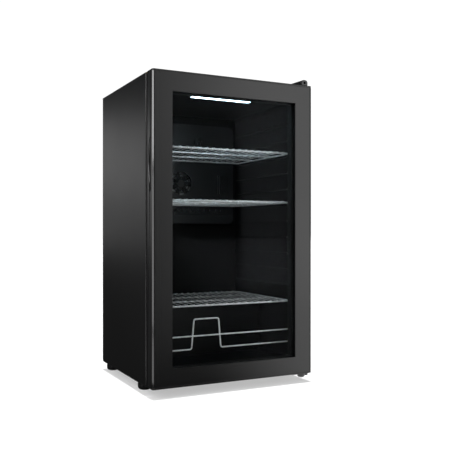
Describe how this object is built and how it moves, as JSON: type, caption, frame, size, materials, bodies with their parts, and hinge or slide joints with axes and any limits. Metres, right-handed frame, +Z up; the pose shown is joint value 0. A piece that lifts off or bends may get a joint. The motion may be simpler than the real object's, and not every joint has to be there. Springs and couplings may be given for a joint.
{
  "type": "mini fridge",
  "caption": "Free-standing compact drinks refrigerator with a hinged glass door, wire shelves, ceiling lamp and rear wire condenser.",
  "frame": {"origin": "on the floor under the centre of the whole object's box", "axes": "+X to the right seen from the front, +Y from the door to the back, +Z up"},
  "size_m": [0.48, 0.467, 0.856],
  "materials": {
    "cabinet_paint": "satin black textured paint",
    "roof_paint": "satin black paint",
    "back_steel": "dark grey paint",
    "base_steel": "dark grey paint",
    "liner_abs": "fine grained black",
    "foam": "rigid foam",
    "screw_steel": "zinc plated",
    "condenser_paint": "black enamel",
    "clip_plastic": "moulded",
    "compressor_paint": "gloss black enamel",
    "grommet_rubber": "moulded rubber",
    "relay_plastic": "moulded",
    "copper": "drawn copper",
    "tray_plastic": "moulded",
    "drain_plastic": "extruded",
    "terminal_plastic": "moulded",
    "evaporator_metal": "roll-bonded sheet",
    "cover_abs": "fine grained black",
    "fan_plastic": "moulded",
    "thermostat_plastic": "moulded",
    "knob_plastic": "moulded",
    "switch_plastic": "moulded",
    "rocker_plastic": "moulded",
    "lamp_plastic": "moulded",
    "lens_plastic": "opal diffuser",
    "led_board_mix": "solder mask",
    "shelf_chrome": "chrome plated wire",
    "guard_chrome": "chrome plated wire",
    "socket_plastic": "moulded",
    "hinge_steel": "black zinc",
    "pin_steel": "turned steel",
    "hinge_cover_abs": "moulded",
    "foot_plastic": "moulded with steel stud",
    "nut_steel": "zinc plated",
    "plug_plastic": "moulded",
    "trim_paint": "satin black",
    "frame_abs": "moulded",
    "inner_abs": "moulded",
    "cap_abs": "moulded",
    "pane_glass": "clear float glass",
    "spacer_aluminium": "anodised",
    "gasket_pvc": "soft PVC",
    "magnet_ferrite": "bonded ferrite strip",
    "pocket_abs": "moulded",
    "bush_acetal": "turned acetal"
  },
  "bodies": {
    "cabinet": {"side_panel_left": "cabinet_paint", "side_panel_right": "cabinet_paint", "top_panel": "roof_paint", "back_panel": "back_steel", "base_plate": "base_steel", "inner_liner": "liner_abs", "insulation_foam": "foam", "back_screws": "screw_steel", "condenser_tube": "condenser_paint", "condenser_wires": "condenser_paint", "condenser_clips": "clip_plastic", "compressor": "compressor_paint", "compressor_grommets": "grommet_rubber", "compressor_bolts": "screw_steel", "relay_box": "relay_plastic", "copper_pipes": "copper", "filter_dryer": "copper", "drip_tray": "tray_plastic", "drain_tube": "drain_plastic", "terminal_box": "terminal_plastic", "cord_gland": "grommet_rubber", "evaporator": "evaporator_metal", "evaporator_cover": "cover_abs", "fan_housing": "fan_plastic", "thermostat_body": "thermostat_plastic", "switch_body": "switch_plastic", "lamp_housing": "lamp_plastic", "lamp_lens": "lens_plastic", "led_board": "led_board_mix", "shelf_top": "shelf_chrome", "shelf_middle": "shelf_chrome", "shelf_lower": "shelf_chrome", "can_guard": "guard_chrome", "guard_sockets": "socket_plastic", "top_hinge_bracket": "hinge_steel", "bottom_hinge_bracket": "hinge_steel", "hinge_pins": "pin_steel", "hinge_screws": "screw_steel", "top_hinge_cover": "hinge_cover_abs", "rear_feet": "foot_plastic", "foot_nuts": "nut_steel", "hole_plugs": "plug_plastic"},
    "door": {"door_trim": "trim_paint", "door_frame": "frame_abs", "door_inner_panel": "inner_abs", "door_cap_top": "cap_abs", "door_cap_bottom": "cap_abs", "glass_outer": "pane_glass", "glass_inner": "pane_glass", "glass_spacer": "spacer_aluminium", "door_gasket": "gasket_pvc", "gasket_magnet": "magnet_ferrite", "handle_pocket": "pocket_abs", "hinge_bushes": "bush_acetal"},
    "fan": {"fan_blades": "fan_plastic"},
    "knob": {"thermostat_knob": "knob_plastic"},
    "rocker": {"switch_rocker": "rocker_plastic"},
    "foot_left": {"front_foot_left": "foot_plastic"},
    "foot_right": {"front_foot_right": "foot_plastic"}
  },
  "joints": [
    {"name": "door_hinge", "type": "hinge", "parent": "cabinet", "child": "door", "pos_m": [0.2185, -0.2115, 0.433], "axis": [0, 0, 1], "range_deg": [0, 120]},
    {"name": "fan_spin", "type": "hinge", "parent": "cabinet", "child": "fan", "pos_m": [0, 0.1575, 0.58], "axis": [0, -1, 0], "continuous": true},
    {"name": "thermostat_turn", "type": "hinge", "parent": "cabinet", "child": "knob", "pos_m": [0.062, 0.1435, 0.715], "axis": [0, -1, 0], "range_deg": [0, 300]},
    {"name": "lamp_switch_rock", "type": "hinge", "parent": "cabinet", "child": "rocker", "pos_m": [-0.062, 0.151, 0.715], "axis": [-1, 0, 0], "range_deg": [0, 16]},
    {"name": "foot_left_level", "type": "slide", "parent": "cabinet", "child": "foot_left", "axis": [0, 0, -1], "range_m": [0, 0.01]},
    {"name": "foot_right_level", "type": "slide", "parent": "cabinet", "child": "foot_right", "axis": [0, 0, -1], "range_m": [0, 0.01]}
  ]
}
